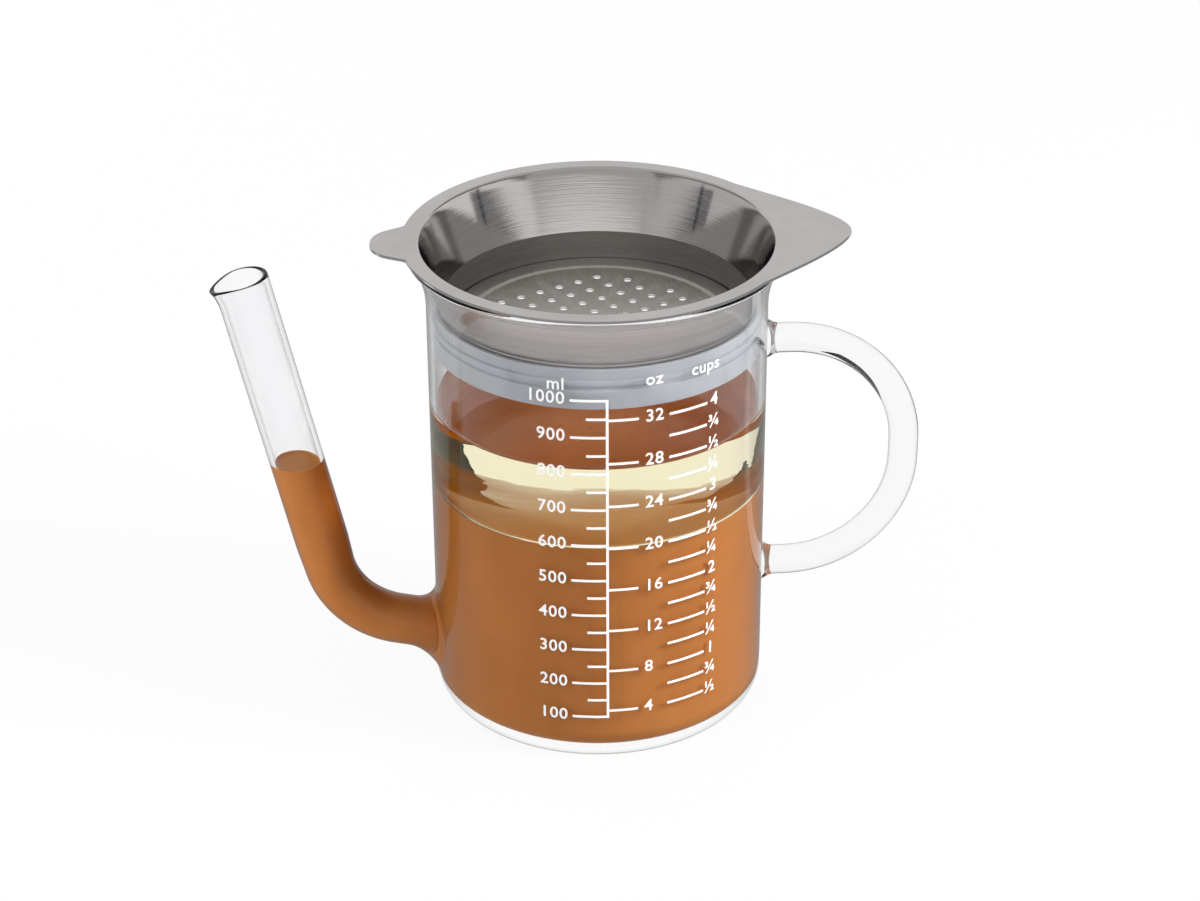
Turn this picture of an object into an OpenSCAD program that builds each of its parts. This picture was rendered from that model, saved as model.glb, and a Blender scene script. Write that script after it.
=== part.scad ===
// Gravy fat separator: a glass measuring jug with a low pouring spout and a
// fused rod handle, and a steel straining funnel that sits in its mouth.
// Millimetres. The origin is the centre of the base, on the resting plane.
// +Z is up, the spout leaves towards -X, the handle is at +X, and the printed
// scales face -Y.

/* [Glass body] */
// Outside diameter of the straight body
body_d = 105; // [98:1:112]
// Thickness of the glass wall
glass_wall = 2; // [1.6:0.1:2.4]
// Height from the base to the top of the rim bead
jug_h = 156; // [148:1:170]
// Thickness of the glass floor
floor_t = 5.3; // [4:0.1:7]
// Outside radius of the base's corner
base_corner_r = 8; // [5:0.5:10]
// How far the rim flares out past the body
flare_out = 5; // [4:0.5:6]
// Height of the flare, below the bead
flare_h = 17.5; // [15:0.5:20]
// Thickness of the rounded bead along the rim
bead_d = 3.2; // [2.8:0.1:3.6]

/* [Spout] */
// Outside diameter of the spout tube
spout_d = 17; // [15:0.5:18]
// Wall of the spout tube
spout_wall = 1.5; // [1.2:0.1:2]
// Drop in the tube's radius from the long leg to the bend, and again to the first leg
spout_draw = 0.2; // [0.1:0.05:0.3]
// Height at which the spout's axis leaves the body
spout_root_z = 22; // [20:0.5:26]
// Upward slope of the first leg, in degrees
spout_rise = 12; // [8:1:14]
// Distance from the body to where the axes of the two legs would cross
spout_reach = 29.7; // [28:0.1:34]
// Radius of the bend, on the axis
spout_bend_r = 28; // [26:1:30]
// Lean of the long leg away from upright, in degrees
spout_lean = 12.4; // [8:0.2:16]
// Height of the middle of the mouth
spout_mouth_z = 147; // [135:1:155]
// Diameter of the flared foot where the spout is fused to the body
spout_foot_d = 31; // [24:0.5:33]
// Length of the flared foot
spout_foot_l = 8; // [5:0.5:9]
// Extra lean of the pouring lip, in degrees
lip_lean = 16; // [12:1:18]
// Length of the pouring lip
lip_l = 9; // [8:0.5:10]

/* [Handle] */
// Diameter of the glass rod
handle_rod_d = 9.4; // [8:0.2:11]
// Height of the middle of the handle
handle_mid_z = 81; // [76:1:86]
// Distance between the axes of the handle's two ends
handle_h = 79.7; // [76:0.1:84]
// Distance from the body to the rod's axis at the grip
handle_reach = 44.7; // [42:0.1:50]
// Radius of the handle's corners, on the axis
handle_corner_r = 37; // [32:0.5:37.5]
// Diameter of the fused foot at each end
handle_foot_d = 12.4; // [11.6:0.2:14]
// Length of the fused foot
handle_foot_l = 4; // [3:0.5:5]

/* [Strainer] */
// Thickness of the steel sheet
sheet_t = 0.9; // [0.7:0.1:1.1]
// Width by which the rim plate overhangs the glass bead
rim_overhang = 1.3; // [0.5:0.1:2.5]
// Length of the large grip tab past the rim plate
grip_l = 18.3; // [14:0.1:22]
// Half the width of the grip tab's rounded end
grip_end_w = 12; // [9:0.5:14]
// Half of the angle that the grip tab takes of the rim, in degrees
grip_angle = 44; // [38:1:48]
// Length of the small thumb tab past the rim plate
thumb_l = 9.3; // [7:0.1:11]
// Half the width of the thumb tab's rounded end
thumb_end_w = 11.5; // [9:0.5:13]
// Half of the angle that the thumb tab takes of the rim, in degrees
thumb_angle = 14; // [13:1:17]
// Depth of the tapered wall, from the rim plate's top to the collar
funnel_h = 19.2; // [17:0.1:22]
// Height of the straight collar
collar_h = 10.8; // [10:0.1:13]
// Width of the flange that carries the perforated plate
flange_w = 2.7; // [2:0.1:4]
// Thickness of the perforated plate
plate_t = 0.7; // [0.5:0.1:0.9]
// Width of the plate's raised ring
plate_ring_w = 6; // [5:0.5:8]
// Depth to which the middle of the plate is pressed
plate_dish = 0.5; // [0.3:0.1:0.8]
// Diameter of a draining hole
hole_d = 2; // [1.5:0.1:2.5]
// Distance between neighbouring holes
hole_pitch = 7; // [5.5:0.5:9]
// Turn of the hole pattern, in degrees
hole_turn = 28; // [0:1:45]
// Width of the plain border inside the plate's ring
hole_border = 6.5; // [4:0.5:10]

/* [Seal] */
// Thickness of the silicone seal at its lips
seal_t = 2.2; // [1.9:0.1:2.6]
// Height of the seal
seal_h = 12.7; // [12:0.1:15]
// Depth of the lip that hooks under the collar
seal_lip_t = 2.8; // [2:0.1:3.5]
// Width of the lip that hooks under the collar
seal_lip_w = 2.2; // [1.5:0.1:2.5]
// Depth of the grooves between the seal's lips
seal_groove = 0.8; // [0.5:0.1:1]

/* [Scales] */
// Thickness of the printed enamel
print_t = 0.12; // [0.1:0.02:0.2]
// Width of a printed line
line_w = 0.8; // [0.6:0.1:1.2]
// Largest volume on the scale, in millilitres
scale_max_ml = 1000; // [800:50:1000]
// Turn of the scales towards the spout, in degrees
scale_turn = 0.9; // [0:0.1:3]
// Length of a long mark, in degrees round the body
long_mark = 12; // [9:0.5:15]
// Length of a short mark, in degrees round the body
short_mark = 6.8; // [5:0.2:8]
// Length of an ounce mark, in degrees round the body
ounce_mark = 10.3; // [8:0.1:12]
// Where the cup marks start, in degrees from the upright line
cup_start = 20.8; // [18:0.2:24]
// Length of a cup mark, in degrees round the body
cup_mark = 14.5; // [10:0.5:16]

/* [Clearances] */
// Gap between the glass bead and the rim plate
seat_gap = 0.2; // [0.1:0.05:0.3]
// Gap between the glass bead and the funnel's mouth
mouth_gap = 0.8; // [0.5:0.1:1.2]
// Gap between the seal's lips and the glass
seal_gap = 0.3; // [0.2:0.05:0.4]
// Gap between the seal and the collar it is stretched over
collar_gap = 0.05; // [0.02:0.01:0.1]
// Gap between the perforated plate and the collar
plate_gap = 0.3; // [0.2:0.05:0.4]
// Gap between the glass and the print, and between the scales' prints
print_gap = 0.03; // [0.02:0.01:0.05]

/* [Hidden] */
$fn = 96;
curve_steps = 12;
hole_fn = 24;

body_r = body_d / 2;
inner_r = body_r - glass_wall;
inner_corner_r = base_corner_r - glass_wall;

// The flare is an arc that leaves the body upright
flare_r = (flare_h * flare_h + flare_out * flare_out) / (2 * flare_out);
flare_angle = asin(flare_h / flare_r);
bead_r = bead_d / 2;
bead_centre_r = body_r + flare_r - (flare_r + glass_wall / 2) * cos(flare_angle);
bead_out_r = bead_centre_r + bead_r;
bead_in_r = bead_centre_r - bead_r;
flare_z = jug_h - bead_r - (flare_r + glass_wall / 2) * sin(flare_angle);

spout_r = spout_d / 2;
spout_bore_r = spout_r - spout_wall;
bend_r = spout_r - spout_draw;
bend_bore_r = spout_bore_r - spout_draw;
root_r = bend_r - spout_draw;
root_bore_r = bend_bore_r - spout_draw;
spout_turn = 90 - spout_rise - spout_lean;
bend_tangent = spout_bend_r * tan(spout_turn / 2);
spout_root_l = spout_reach / cos(spout_rise) - bend_tangent;
spout_corner_z = spout_root_z + spout_reach * tan(spout_rise);
spout_riser_l = (spout_mouth_z - spout_corner_z) / cos(spout_lean) - bend_tangent;
// Depth to which fused glass starts inside the body, before it is trimmed to it
foot_sink = 5;
// Depth of the foot's widest circle inside the body's surface
foot_cover = 0.2;
// Length by which the narrower first leg runs into the bend
bend_lap = 0.5;
// Distance by which a cut runs past the faces that it opens
cut_over = 1;

handle_axis_x = body_r + handle_reach;
handle_corner_x = handle_axis_x - handle_corner_r;

seal_out_r = inner_r - seal_gap;
collar_out_r = seal_out_r - seal_t;
collar_in_r = collar_out_r - sheet_t;
mouth_r = bead_in_r - mouth_gap;
rim_r = bead_out_r + rim_overhang;
rim_z = jug_h + seat_gap;
rim_top = rim_z + sheet_t;
collar_top = rim_top - funnel_h;
collar_bottom = collar_top - collar_h;
plate_z = collar_bottom + sheet_t;
plate_r = collar_in_r - plate_gap;
dish_r = plate_r - plate_ring_w;
holes_r = dish_r - hole_border;
seal_bottom = collar_bottom - collar_gap - seal_lip_t;
seal_top = seal_bottom + seal_h;
seal_in_r = collar_out_r + collar_gap;
// Depth to which a tab's outline starts inside the rim plate
tab_lap = 0.45;
// Share of its half width over which a tab leaves the rim along the tangent
tab_ease = 1 / 3;
// Size of the seal's small bevels, and height of its middle ridge
seal_bevel = 0.6;
seal_ridge_h = 2.4;

// A mark's height is where that volume of liquid stands in the jug and its spout
ounce_ml = 29.574;
quarter_cup_ml = 59.147;
mm3_per_ml = 1000;
level_area = PI * inner_r * inner_r + PI * spout_bore_r * spout_bore_r / cos(spout_lean);
corner_loss = 2 * PI * inner_r * (1 - PI / 4) * inner_corner_r * inner_corner_r;
function level_z(ml) = floor_t + (ml * mm3_per_ml + corner_loss) / level_area;
print_r = body_r + print_gap;
scale_step_ml = 50;
scale_min_ml = 100;
ounce_step = 4;
ounce_steps = floor(scale_max_ml / (ounce_ml * ounce_step));
quarter_cups = floor(scale_max_ml / quarter_cup_ml);
first_quarter_cup = 2;

// A point of the cubic curve through four control points
function cubic(p, t) =
    (1 - t) * (1 - t) * (1 - t) * p[0] + 3 * t * (1 - t) * (1 - t) * p[1]
    + 3 * t * t * (1 - t) * p[2] + t * t * t * p[3];

// One side of a tab: it leaves the rim along its tangent and ends across the tab's tip
function tab_side(angle, length, end_w, side) =
    let (root = (rim_r - tab_lap) * [cos(angle), side * sin(angle)],
         along = rim_r * sin(angle) * tab_ease * [sin(angle), -side * cos(angle)],
         tip = rim_r + length)
    [for (i = [0 : curve_steps])
        cubic([root, root + along, [tip, side * end_w], [tip, 0]], i / curve_steps)];

// Outline of one tab, towards +X
module tab_outline(angle, length, end_w) {
    upper = tab_side(angle, length, end_w, 1);
    lower = tab_side(angle, length, end_w, -1);
    polygon(concat([[0, 0]], lower, [for (i = [1 : curve_steps]) upper[curve_steps - i]]));
}

// Half section of a cup-shaped space with a rounded lower corner
module cup_section(r, bottom, top, corner) {
    translate([0, bottom + corner]) square([r, top - bottom - corner]);
    translate([0, bottom]) square([r - corner, corner]);
    translate([r - corner, bottom + corner]) intersection() {
        circle(r = corner);
        translate([0, -corner]) square(corner);
    }
}

// Section of the flared rim: an arc of the wall's thickness, with a round bead on its end
module rim_section() {
    wedge = 2 * flare_r;
    translate([body_r + flare_r, flare_z]) intersection() {
        difference() {
            circle(r = flare_r + glass_wall);
            circle(r = flare_r);
        }
        polygon([[0, 0], [-wedge, 0], [-wedge * cos(flare_angle), wedge * sin(flare_angle)]]);
    }
    translate([bead_centre_r, jug_h - bead_r]) circle(r = bead_r);
}

// A fused rod end along +Z, square to the body, that widens into a foot at the body's surface
module fused_end(r, foot_r, foot_l, length) {
    // The foot is at its widest where the body's curve has dropped away across it
    drop = body_r - sqrt(body_r * body_r - foot_r * foot_r) + foot_cover;
    spread = foot_r - r;
    arc_r = ((foot_l + drop) * (foot_l + drop) + spread * spread) / (2 * spread);
    rotate_extrude() {
        difference() {
            translate([0, -foot_sink]) square([foot_r, foot_sink + foot_l]);
            translate([r + arc_r, foot_l]) circle(r = arc_r);
        }
        translate([0, foot_l]) square([r, length - foot_l]);
    }
}

// The straight body as a solid, to trim what is fused onto it
module body_core() {
    translate([0, 0, -cut_over]) cylinder(r = body_r, h = jug_h + 2 * cut_over);
}

// Places at the spout's root, at its bend and at its long leg, with +Z along the spout
module at_spout_root() {
    translate([-body_r, 0, spout_root_z]) rotate([0, spout_rise - 90, 0]) children();
}
module at_spout_bend() {
    at_spout_root() translate([0, 0, spout_root_l]) children();
}
module at_spout_riser() {
    at_spout_bend() translate([spout_bend_r, 0, 0]) rotate([0, spout_turn, 0])
        translate([-spout_bend_r, 0, 0]) children();
}
module at_spout_lip() {
    at_spout_riser() translate([0, 0, spout_riser_l - lip_l]) rotate([0, -lip_lean, 0]) children();
}

// The bend as a solid of the given radius
module spout_bend(r) {
    at_spout_bend() translate([spout_bend_r, 0, 0]) rotate([90, 0, 0])
        rotate([0, 0, 180 - spout_turn]) rotate_extrude(angle = spout_turn)
            translate([spout_bend_r, 0]) circle(r = r);
}

// The first leg of the spout, from inside the body to just inside the bend
module spout_root_leg(r) {
    at_spout_root() translate([0, 0, -foot_sink])
        cylinder(r = r, h = foot_sink + spout_root_l + bend_lap);
}

// Beaker: flat base, straight wall and flared rim, with the hole into the spout
module glass_beaker() color([0.85, 0.92, 0.93, 0.4]) {
    difference() {
        rotate_extrude() {
            difference() {
                cup_section(body_r, 0, flare_z, base_corner_r);
                cup_section(inner_r, floor_t, flare_z + cut_over, inner_corner_r);
            }
            rim_section();
        }
        spout_root_leg(root_bore_r);
    }
}

// Spout: fused foot, first leg, bend, long leaning leg and pouring lip
module spout_tube() color([0.85, 0.92, 0.93, 0.4]) {
    lip_r = spout_r - spout_draw;
    lip_bore_r = lip_r - spout_wall;
    difference() {
        union() {
            spout_root_leg(root_r);
            spout_bend(bend_r);
            at_spout_riser() cylinder(r = spout_r, h = spout_riser_l);
            at_spout_lip() cylinder(r = lip_r, h = lip_l);
            // The foot's arc ends inside the rising first leg
            translate([-body_r, 0, spout_root_z]) rotate([0, -90, 0])
                fused_end(root_r - spout_wall, spout_foot_d / 2, spout_foot_l, spout_foot_l + bend_lap);
        }
        spout_root_leg(root_bore_r);
        spout_bend(bend_bore_r);
        at_spout_riser() cylinder(r = spout_bore_r, h = spout_riser_l + lip_l);
        at_spout_lip() cylinder(r = lip_bore_r, h = 2 * lip_l);
        body_core();
    }
}

// Handle: a bent solid rod with a fused foot at each end
module handle_rod() color([0.85, 0.92, 0.93, 0.4]) {
    rod_r = handle_rod_d / 2;
    stub_l = handle_corner_x - body_r;
    difference() {
        union() {
            for (side = [-1, 1]) {
                translate([0, 0, handle_mid_z + side * handle_h / 2]) {
                    translate([body_r, 0, 0]) rotate([0, 90, 0])
                        fused_end(rod_r, handle_foot_d / 2, handle_foot_l, stub_l);
                    translate([handle_corner_x, 0, -side * handle_corner_r]) rotate([90, 0, 0])
                        rotate([0, 0, side > 0 ? 0 : -90]) rotate_extrude(angle = 90)
                            translate([handle_corner_r, 0]) circle(r = rod_r);
                }
            }
            translate([handle_axis_x, 0, handle_mid_z - handle_h / 2 + handle_corner_r])
                cylinder(r = rod_r, h = handle_h - 2 * handle_corner_r);
        }
        body_core();
    }
}

// A flat drawing printed on the front of the body, with its y as the height
module printed() {
    intersection() {
        rotate_extrude() translate([print_r, 0]) square([print_t, flare_z]);
        rotate([90, 0, -scale_turn]) linear_extrude(2 * body_r) children();
    }
}

// Where an angle round the body lies in the drawing
function front_x(angle) = print_r * sin(angle);

// A mark of the drawing at a volume's height
module mark(ml, left, right) {
    translate([left, level_z(ml) - line_w / 2]) square([right - left, line_w]);
}

// Millilitre scale: the upright line with long marks at 100 ml and short ones between
module ml_scale() color("white") {
    scale_h = level_z(scale_max_ml) - level_z(scale_min_ml);
    printed() {
        translate([-line_w / 2, level_z(scale_min_ml)]) square([line_w, scale_h]);
        for (ml = [scale_min_ml : scale_step_ml : scale_max_ml])
            mark(ml, -front_x(ml % (2 * scale_step_ml) == 0 ? long_mark : short_mark), line_w / 2);
    }
}

// Fluid ounce scale: a mark for every four ounces, right of the upright line
module oz_scale() color("white") {
    printed() for (i = [1 : ounce_steps])
        mark(i * ounce_step * ounce_ml, line_w / 2 + print_gap, front_x(ounce_mark));
}

// Cup scale: a mark for every quarter cup from a half
module cup_scale() color("white") {
    printed() for (i = [first_quarter_cup : quarter_cups])
        mark(i * quarter_cup_ml, front_x(cup_start), front_x(cup_start + cup_mark));
}

// Funnel: flat rim plate with a grip tab and a thumb tab, and the tapered wall
module strainer_funnel() color("silver") {
    translate([0, 0, rim_z]) linear_extrude(sheet_t) difference() {
        union() {
            circle(r = rim_r);
            tab_outline(grip_angle, grip_l, grip_end_w);
            mirror([1, 0]) tab_outline(thumb_angle, thumb_l, thumb_end_w);
        }
        circle(r = mouth_r);
    }
    rotate_extrude() polygon([
        [mouth_r, rim_top], [collar_in_r, collar_top],
        [collar_out_r, collar_top], [mouth_r + sheet_t, rim_z]
    ]);
}

// Collar: straight band under the funnel, with an inward flange at its foot
module strainer_collar() color("gray") {
    rotate_extrude() {
        translate([collar_in_r, collar_bottom]) square([sheet_t, collar_h]);
        translate([collar_in_r - flange_w, collar_bottom]) square([flange_w, sheet_t]);
    }
}

// Perforated plate: a dished disc that lies on the collar's flange
module perforated_plate() color("lightgray") {
    rows = ceil(holes_r / hole_pitch);
    difference() {
        rotate_extrude() polygon([
            [0, plate_z - plate_dish], [dish_r - plate_dish, plate_z - plate_dish],
            [dish_r, plate_z], [plate_r, plate_z], [plate_r, plate_z + plate_t],
            [dish_r, plate_z + plate_t], [dish_r - plate_dish, plate_z + plate_t - plate_dish],
            [0, plate_z + plate_t - plate_dish]
        ]);
        rotate([0, 0, hole_turn])
            for (i = [-rows : rows], j = [-rows : rows]) {
                // The pattern starts half a pitch off the middle
                x = (i + 0.5) * hole_pitch;
                y = j * hole_pitch;
                if (norm([x, y]) < holes_r)
                    translate([x, y, plate_z - cut_over])
                        cylinder(d = hole_d, h = plate_t + 2 * cut_over, $fn = hole_fn);
            }
    }
}

// Seal: a sleeve round the collar with two lips, hooked under the collar's foot
module silicone_seal() color([0.75, 0.8, 0.86]) {
    ridge_z = seal_bottom + seal_h / 2;
    groove_r = seal_out_r - seal_groove;
    lip_r = collar_out_r - seal_lip_w;
    rotate_extrude() polygon([
        [seal_in_r, seal_top], [seal_in_r, seal_bottom + seal_lip_t],
        [lip_r, seal_bottom + seal_lip_t], [lip_r, seal_bottom + seal_bevel],
        [lip_r + seal_bevel, seal_bottom],
        [seal_out_r - seal_bevel, seal_bottom], [seal_out_r, seal_bottom + seal_bevel],
        [seal_out_r, ridge_z - seal_bevel], [groove_r, ridge_z],
        [groove_r, ridge_z + seal_bevel], [seal_out_r, ridge_z + 2 * seal_bevel],
        [seal_out_r, ridge_z + seal_ridge_h], [groove_r, ridge_z + seal_ridge_h + seal_bevel],
        [groove_r, seal_top - seal_bevel], [groove_r - seal_bevel / 2, seal_top]
    ]);
}

glass_beaker();
spout_tube();
handle_rod();
ml_scale();
oz_scale();
cup_scale();
strainer_funnel();
strainer_collar();
perforated_plate();
silicone_seal();
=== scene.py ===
# Dresses the gravy fat separator: fused glass, its filling, the steel strainer, the seal and the print.
import math

import bpy
from mathutils import Matrix, Vector

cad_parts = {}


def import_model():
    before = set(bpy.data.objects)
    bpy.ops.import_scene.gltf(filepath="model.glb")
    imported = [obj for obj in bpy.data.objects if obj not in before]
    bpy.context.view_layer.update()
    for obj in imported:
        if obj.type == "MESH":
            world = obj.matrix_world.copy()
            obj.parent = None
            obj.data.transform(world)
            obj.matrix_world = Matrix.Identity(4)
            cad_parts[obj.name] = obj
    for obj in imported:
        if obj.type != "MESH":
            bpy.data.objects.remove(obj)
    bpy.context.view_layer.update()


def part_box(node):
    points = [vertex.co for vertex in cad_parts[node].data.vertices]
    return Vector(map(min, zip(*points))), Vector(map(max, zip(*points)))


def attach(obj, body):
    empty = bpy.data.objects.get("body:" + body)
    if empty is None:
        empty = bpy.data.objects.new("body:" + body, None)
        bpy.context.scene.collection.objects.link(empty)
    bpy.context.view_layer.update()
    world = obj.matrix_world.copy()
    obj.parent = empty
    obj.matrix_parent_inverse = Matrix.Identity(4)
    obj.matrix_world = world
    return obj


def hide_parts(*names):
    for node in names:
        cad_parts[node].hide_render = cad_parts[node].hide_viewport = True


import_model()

MM = 0.001

# Glass body
BODY_R = 52.5 * MM
WALL = 2 * MM
INNER_R = BODY_R - WALL
FLOOR_T = 5.3 * MM
CORNER_R = 8 * MM
FLARE_OUT = 5 * MM
FLARE_H = 17.5 * MM
BEAD_R = 1.6 * MM
JUG_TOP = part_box("glass_beaker")[1].z

# Spout
SPOUT_R = 8.5 * MM
SPOUT_WALL = 1.5 * MM
SPOUT_ROOT_R = 8.1 * MM
SPOUT_ROOT_Z = 22 * MM
SPOUT_RISE = math.radians(12)
SPOUT_LEAN = math.radians(12.4)
SPOUT_REACH = 29.7 * MM
SPOUT_BEND_R = 28 * MM
SPOUT_MOUTH_Z = 147 * MM
SPOUT_FOOT_R = 15.5 * MM
SPOUT_FOOT_L = 8 * MM
# Top stretch of the long leg, cut finely for the lip, and the share of the rest that widens from the root
LIP_L = 10 * MM
LEG_EASE = 0.1

# Handle
ROD_R = 4.7 * MM
HANDLE_MID_Z = 81 * MM
HANDLE_H = 79.7 * MM
HANDLE_AXIS_X = BODY_R + 44.7 * MM
HANDLE_CORNER_R = 37 * MM
HANDLE_FOOT_R = 6.2 * MM
HANDLE_FOOT_L = 4 * MM

# Filling: the levels, how far each liquid climbs the wall, and how far from the wall that is seen
GRAVY_Z = 77 * MM
FAT_Z = 103.7 * MM
SPOUT_GRAVY_Z = 84 * MM
GRAVY_CLIMB = 0.5 * MM
GRAVY_REACH = 4 * MM
FAT_CLIMB = 1.2 * MM
FAT_REACH = 5 * MM
FAT_TOP = FAT_Z + FAT_CLIMB
# Depth by which a liquid is sunk into the glass, so that no air is left between
WETTING = 0.05 * MM
# Clearance between the gravy's top and the fat's underside
FILM = 0.03 * MM
# How near to a height a point still counts as lying on it
NEAR = 0.01 * MM
# The gravy's swell, and the slow waves on it: height and half lengths along X and Y in mm, then phase
SWELL = 2.0 * MM
WAVES = ((0.060, 31, 24, 0.4), (0.045, -22, 38, 1.9), (0.028, 17, -29, 3.1), (0.012, 11, 14, 5.0))

# Depth of a fused end inside the glass wall
SINK = 1 * MM
# How finely round shapes are cut
ROUND_STEPS = 144
TUBE_SIDES = 64
ROD_SIDES = 48
SPOUT_BEND_STEPS = 24
HANDLE_BEND_STEPS = 32


# -------------------- modelling helpers

def off_axis(point):
    """Distance from the jug's axis."""
    return math.hypot(point.x, point.y)


def mode(name):
    """Goes into edit mode or back to object mode."""
    bpy.ops.object.mode_set(mode=name)


def select_mesh():
    """Selects all of the mesh that is being edited."""
    bpy.ops.mesh.select_all(action="SELECT")


def settle():
    """Bakes the selected objects' place, turn and size into their data."""
    bpy.ops.object.transform_apply(location=True, rotation=True, scale=True)


def deselect():
    """Leaves nothing selected, in object mode."""
    if bpy.context.object and bpy.context.object.mode != "OBJECT":
        mode("OBJECT")
    bpy.ops.object.select_all(action="DESELECT")


def new_piece(name):
    """Names the primitive that was just added and bakes its place into its mesh."""
    piece = bpy.context.object
    piece.name = name
    piece.data.name = name
    settle()
    return piece


def only(piece):
    """Selects one piece and makes it the active one."""
    deselect()
    piece.select_set(True)
    bpy.context.view_layer.objects.active = piece


def finish_mesh(piece, merge=1e-7, angle=35):
    """Merges doubles, turns the faces outwards and shades smooth by angle."""
    only(piece)
    mode("EDIT")
    select_mesh()
    bpy.ops.mesh.remove_doubles(threshold=merge)
    bpy.ops.mesh.normals_make_consistent(inside=False)
    mode("OBJECT")
    bpy.ops.object.shade_smooth_by_angle(angle=math.radians(angle))
    return piece


def arc(centre, radius, start, end, steps):
    """Points of an arc in a profile, angles in degrees, 0 along +r and 90 along +z."""
    turns = [math.radians(start + (end - start) * i / steps) for i in range(steps + 1)]
    return [(centre[0] + radius * math.cos(a), centre[1] + radius * math.sin(a)) for a in turns]


def line(start, end, step):
    """Points along a straight stretch of a profile, without its first point."""
    length = math.dist(start, end)
    count = max(1, round(length / step))
    return [(start[0] + (end[0] - start[0]) * i / count, start[1] + (end[1] - start[1]) * i / count)
            for i in range(1, count + 1)]


def turned(name, profile, steps=ROUND_STEPS, closed=False):
    """A profile of (radius, height) points drawn by extruding one vertex, then spun round Z."""
    deselect()
    r, z = profile[0]
    bpy.ops.mesh.primitive_plane_add(size=MM, location=(r, 0, z))
    piece = new_piece(name)
    mode("EDIT")
    select_mesh()
    bpy.ops.mesh.merge(type="CENTER")
    points = profile[1:] + profile[:1] if closed else profile[1:]
    for next_r, next_z in points:
        bpy.ops.mesh.extrude_region_move(TRANSFORM_OT_translate={"value": (next_r - r, 0, next_z - z)})
        r, z = next_r, next_z
    select_mesh()
    bpy.ops.mesh.spin(steps=steps, angle=2 * math.pi, center=(0, 0, 0), axis=(0, 0, 1))
    return finish_mesh(piece)


def start_rod(name, radius, place, along, sides=ROD_SIDES):
    """A round face square to its axis, ready to be drawn out into a rod. It stays in edit mode."""
    deselect()
    turn = along.to_track_quat("Z", "Y").to_euler()
    bpy.ops.mesh.primitive_circle_add(vertices=sides, radius=radius, fill_type="NGON",
                                      location=place, rotation=turn)
    piece = new_piece(name)
    mode("EDIT")
    select_mesh()
    return piece


def draw(move, centre, scale=1.0):
    """Draws the selected face out by a move, then scales it about its new centre."""
    bpy.ops.mesh.extrude_region_move(TRANSFORM_OT_translate={"value": tuple(move)})
    if scale != 1.0:
        bpy.ops.transform.resize(value=(scale,) * 3, center_override=tuple(centre))


def combine(piece, other, operation):
    """Joins the other piece to this one or cuts it away, and removes the other."""
    only(piece)
    tool = piece.modifiers.new("combine", "BOOLEAN")
    tool.operation = operation
    tool.solver = "EXACT"
    tool.object = other
    bpy.ops.object.modifier_apply(modifier=tool.name)
    bpy.data.objects.remove(other)
    return piece


# -------------------- the spout's route

class Route:
    """Where the spout's axis runs: first leg, bend and long leg, all in the plane Y = 0."""
    root = Vector((-BODY_R, 0, SPOUT_ROOT_Z))
    first = Vector((-math.cos(SPOUT_RISE), 0, math.sin(SPOUT_RISE)))
    leg = Vector((-math.sin(SPOUT_LEAN), 0, math.cos(SPOUT_LEAN)))
    turn = math.pi / 2 - SPOUT_RISE - SPOUT_LEAN
    tangent = SPOUT_BEND_R * math.tan(turn / 2)
    corner = root + first * (SPOUT_REACH / math.cos(SPOUT_RISE))
    bend_start = corner - first * tangent
    leg_start = corner + leg * tangent
    bend_centre = bend_start + Vector((math.sin(SPOUT_RISE), 0, math.cos(SPOUT_RISE))) * SPOUT_BEND_R
    leg_l = (SPOUT_MOUTH_Z - leg_start.z) / leg.z


def spin_bend(turn):
    """Draws the selected face round the spout's bend."""
    bpy.ops.mesh.spin(steps=SPOUT_BEND_STEPS, angle=turn, center=Route.bend_centre, axis=(0, -1, 0))


# -------------------- glass

def beaker():
    """Beaker as one closed skin: base, outer wall, flare, rim bead, inner wall and floor."""
    flare_r = (FLARE_H ** 2 + FLARE_OUT ** 2) / (2 * FLARE_OUT)
    flare_turn = math.degrees(math.asin(FLARE_H / flare_r))
    mid_r = flare_r + WALL / 2
    flare_z = JUG_TOP - BEAD_R - mid_r * math.sin(math.radians(flare_turn))
    centre = (BODY_R + flare_r, flare_z)
    bead = (BODY_R + flare_r - mid_r * math.cos(math.radians(flare_turn)), JUG_TOP - BEAD_R)
    # The bead's circle meets the wall this far short of its own centre
    neck = math.sqrt(BEAD_R ** 2 - (WALL / 2) ** 2)
    neck_turn = math.degrees(neck / mid_r)
    bead_turn = math.degrees(math.asin(WALL / 2 / BEAD_R))
    along = 270 - flare_turn
    inner_corner = CORNER_R - WALL
    disc_step, wall_step = 8 * MM, 2.5 * MM
    profile = [(0, 0)]
    profile += line((0, 0), (BODY_R - CORNER_R, 0), disc_step)
    profile += arc((BODY_R - CORNER_R, CORNER_R), CORNER_R, -90, 0, 12)[1:]
    profile += line((BODY_R, CORNER_R), (BODY_R, flare_z), wall_step)
    profile += arc(centre, flare_r, 180, 180 - flare_turn + neck_turn, 12)[1:]
    profile += arc(bead, BEAD_R, along + bead_turn - 360, along - bead_turn, 20)
    profile += arc(centre, flare_r + WALL, 180 - flare_turn + neck_turn, 180, 12)
    # The inner wall has an edge at each liquid's level, where its material changes
    for high, low in ((flare_z, FAT_TOP), (FAT_TOP, GRAVY_Z), (GRAVY_Z, FLOOR_T + inner_corner)):
        profile += line((INNER_R, high), (INNER_R, low), wall_step)
    profile += arc((INNER_R - inner_corner, FLOOR_T + inner_corner), inner_corner, 0, -90, 10)[1:]
    profile += line((INNER_R - inner_corner, FLOOR_T), (0, FLOOR_T), disc_step)
    return turned("beaker", profile)


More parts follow.
